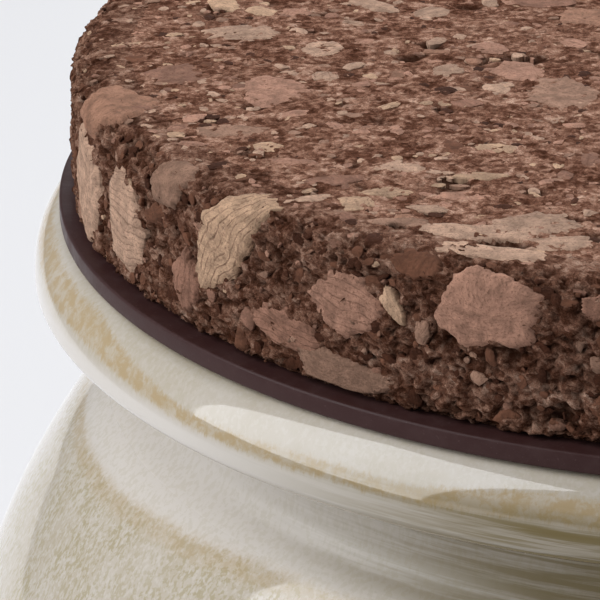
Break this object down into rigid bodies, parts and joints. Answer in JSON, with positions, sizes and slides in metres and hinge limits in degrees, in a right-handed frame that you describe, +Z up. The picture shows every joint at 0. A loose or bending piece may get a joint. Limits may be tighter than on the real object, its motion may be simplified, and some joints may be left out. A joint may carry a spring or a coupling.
{
  "type": "lidded jar",
  "caption": "Round-bellied glazed stoneware storage jar with a rolled lip, closed by a thick cork lid on a flat silicone sealing ring.",
  "frame": {"origin": "middle of the flat foot that the jar stands on", "axes": "+Z up along the axis on which the jar, the ring and the lid are turned; X and Y lie on the surface that the jar stands on"},
  "size_m": [0.1356, 0.1356, 0.1435],
  "materials": {
    "glaze": "glossy grey-beige glaze with fine speckle, breaking to light brown on the edges",
    "silicone": "satin dark chocolate-brown silicone",
    "cork": "dark agglomerated cork, cut flat on top and sanded round the edge, with paler granules"
  },
  "bodies": {
    "root": {"jar": "glaze", "seal_ring": "silicone", "cork_lid": "cork"}
  },
  "joints": []
}
